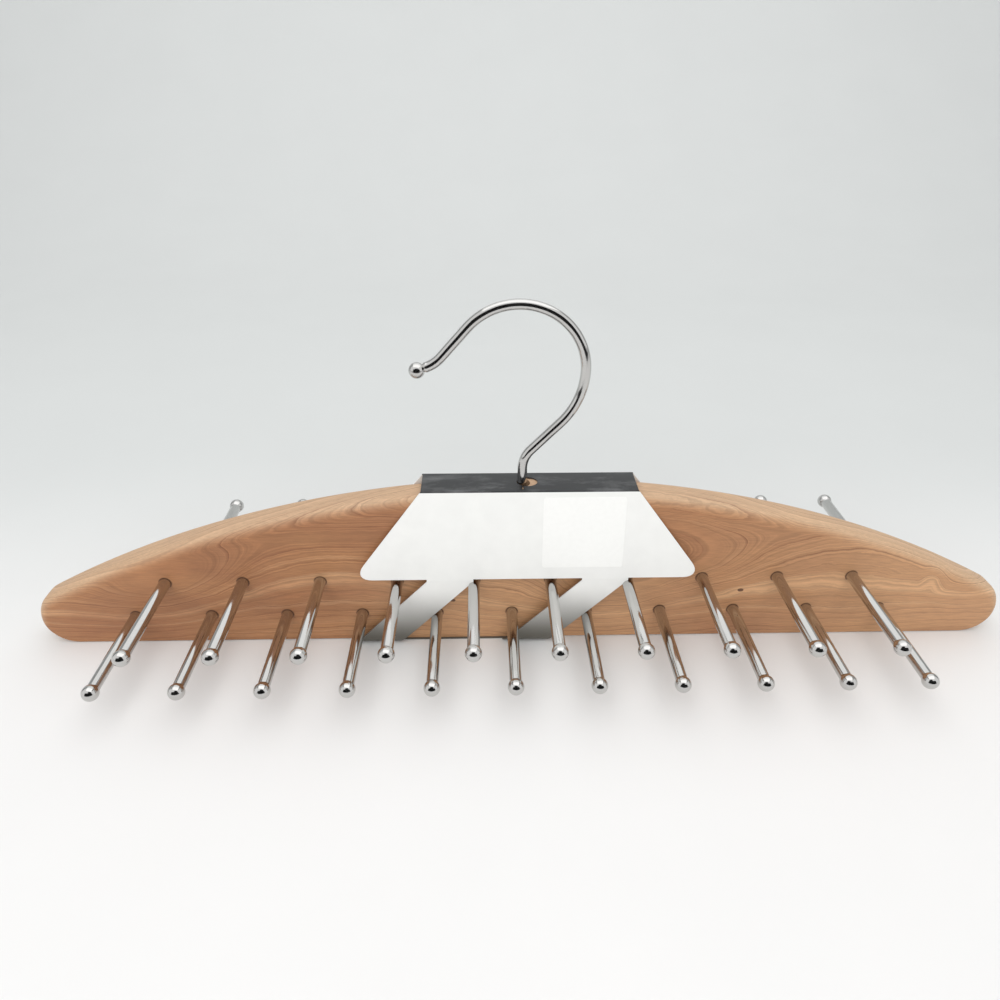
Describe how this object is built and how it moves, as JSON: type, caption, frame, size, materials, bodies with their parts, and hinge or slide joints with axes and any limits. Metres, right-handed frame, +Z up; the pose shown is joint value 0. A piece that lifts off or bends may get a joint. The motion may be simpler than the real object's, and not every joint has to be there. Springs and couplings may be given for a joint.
{
  "type": "tie hanger",
  "caption": "Arched wooden tie hanger with rows of ball-ended metal pegs on both faces, a swivelling wire hook and a folded card sleeve.",
  "frame": {"origin": "bottom centre of the bounding box: the middle of the body's length and thickness, on the underside of the card sleeve", "axes": "+X along the body to the right seen from the front, front pegs point to -Y, +Z up along the hook's shank"},
  "size_m": [0.456, 0.1212, 0.1617],
  "materials": {
    "wood": "satin reddish cedar",
    "chrome": "polished",
    "sleeve_steel": "turned",
    "card": "coated white card with a black band at the top",
    "label_paper": "matte"
  },
  "bodies": {
    "hanger": {"body": "wood", "hook_sleeve": "sleeve_steel", "card_sleeve": "card", "price_label": "label_paper", "peg_front_upper_01": "chrome", "peg_front_upper_02": "chrome", "peg_front_upper_03": "chrome", "peg_front_upper_04": "chrome", "peg_front_upper_05": "chrome", "peg_front_upper_06": "chrome", "peg_front_upper_07": "chrome", "peg_front_upper_08": "chrome", "peg_front_upper_09": "chrome", "peg_front_upper_10": "chrome", "peg_front_lower_01": "chrome", "peg_front_lower_02": "chrome", "peg_front_lower_03": "chrome", "peg_front_lower_04": "chrome", "peg_front_lower_05": "chrome", "peg_front_lower_06": "chrome", "peg_front_lower_07": "chrome", "peg_front_lower_08": "chrome", "peg_front_lower_09": "chrome", "peg_front_lower_10": "chrome", "peg_front_lower_11": "chrome", "peg_back_upper_01": "chrome", "peg_back_upper_02": "chrome", "peg_back_upper_03": "chrome", "peg_back_upper_04": "chrome", "peg_back_upper_05": "chrome", "peg_back_upper_06": "chrome", "peg_back_upper_07": "chrome", "peg_back_upper_08": "chrome", "peg_back_upper_09": "chrome", "peg_back_upper_10": "chrome", "peg_back_lower_01": "chrome", "peg_back_lower_02": "chrome", "peg_back_lower_03": "chrome", "peg_back_lower_04": "chrome", "peg_back_lower_05": "chrome", "peg_back_lower_06": "chrome", "peg_back_lower_07": "chrome", "peg_back_lower_08": "chrome", "peg_back_lower_09": "chrome", "peg_back_lower_10": "chrome", "peg_back_lower_11": "chrome"},
    "hook": {"hook": "chrome"}
  },
  "joints": [
    {"name": "hook_swivel", "type": "hinge", "parent": "hanger", "child": "hook", "pos_m": [-0.003, 0, 0.07], "axis": [0, 0, 1], "continuous": true}
  ]
}
